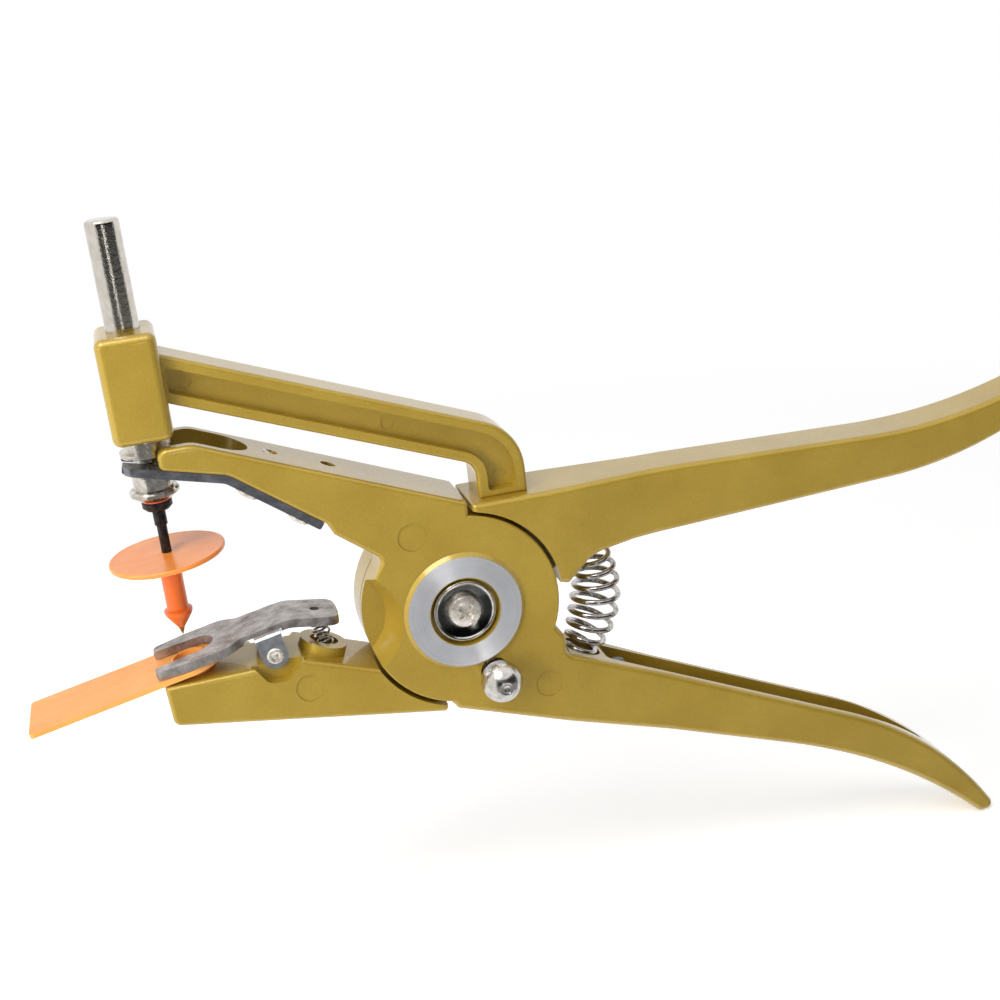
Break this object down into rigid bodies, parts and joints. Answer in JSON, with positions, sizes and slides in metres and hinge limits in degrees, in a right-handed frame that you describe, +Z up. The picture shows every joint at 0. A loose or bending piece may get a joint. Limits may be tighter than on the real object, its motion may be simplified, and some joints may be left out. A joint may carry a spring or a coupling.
{
  "type": "ear tag applicator",
  "caption": "Plier-type ear tag applicator with a guided plunger, a sprung tag clip on the lower jaw and long channel handles, holding a round button tag and a strap tag.",
  "frame": {"origin": "where the hinge axis meets the flat back face of the hub", "axes": "+X towards the handles, +Y from the front face to the back face along the hinge axis, +Z up along the plunger"},
  "size_m": [0.2836, 0.0356, 0.2065],
  "materials": {
    "gold_paint": "metallic gold paint, soft gloss",
    "chrome": "bright chrome plate",
    "nickel": "bright nickel plate",
    "zinc_steel": "bright zinc-plated steel",
    "dark_steel": "dark rolled steel, satin",
    "black_steel": "black oxide",
    "screw_nickel": "nickel-plated screws",
    "cast_clip": "tumbled cast steel, satin",
    "spring_steel": "bright plated spring wire",
    "red_washer": "matt red fibre",
    "orange_plastic": "moulded polyurethane, satin",
    "tag_point": "dull metal tip"
  },
  "bodies": {
    "frame": {"frame_casting": "gold_paint", "pivot_barrel": "zinc_steel", "thrust_washer": "zinc_steel", "dished_washer": "nickel", "pivot_screw": "nickel", "clip_pin": "nickel", "female_tag": "orange_plastic", "clip_spring": "spring_steel", "handle_spring": "spring_steel"},
    "lever": {"lever_casting": "gold_paint", "fork_plate": "dark_steel", "plate_screws": "screw_nickel", "stop_screw": "black_steel", "lock_spring": "spring_steel"},
    "plunger": {"plunger_rod": "chrome", "lower_collar": "chrome", "red_washer": "red_washer", "applicator_pin": "black_steel", "male_tag": "orange_plastic", "male_tag_point": "tag_point"},
    "clip": {"clip_lever": "cast_clip", "clip_saddle": "zinc_steel"},
    "lock": {"lock_knob": "nickel", "lock_pin": "zinc_steel"}
  },
  "joints": [
    {"name": "lever_pivot", "type": "hinge", "parent": "frame", "child": "lever", "pos_m": [0, -0.01, 0], "axis": [0, -1, 0], "range_deg": [0, 15.6], "stiffness_Nm_per_rad": 3.6, "springref_deg": -15.47, "deforming": ["handle_spring"]},
    {"name": "plunger_slide", "type": "slide", "parent": "frame", "child": "plunger", "axis": [0, 0, -1], "range_m": [0, 0.0197]},
    {"name": "clip_pivot", "type": "hinge", "parent": "frame", "child": "clip", "pos_m": [-0.0481, -0.01, -0.0021], "axis": [0, 1, 0], "range_deg": [0, 10], "stiffness_Nm_per_rad": 0.15, "springref_deg": -14.32, "deforming": ["clip_spring"]},
    {"name": "knob_push", "type": "slide", "parent": "lever", "child": "lock", "axis": [0, 1, 0], "range_m": [0, 0.002], "stiffness_N_per_m": 1000, "springref_m": -0.002, "deforming": ["lock_spring"]}
  ],
  "couplings": [
    {"joint": "plunger_slide", "follows": "lever_pivot", "m_per_rad": 0.0723}
  ]
}
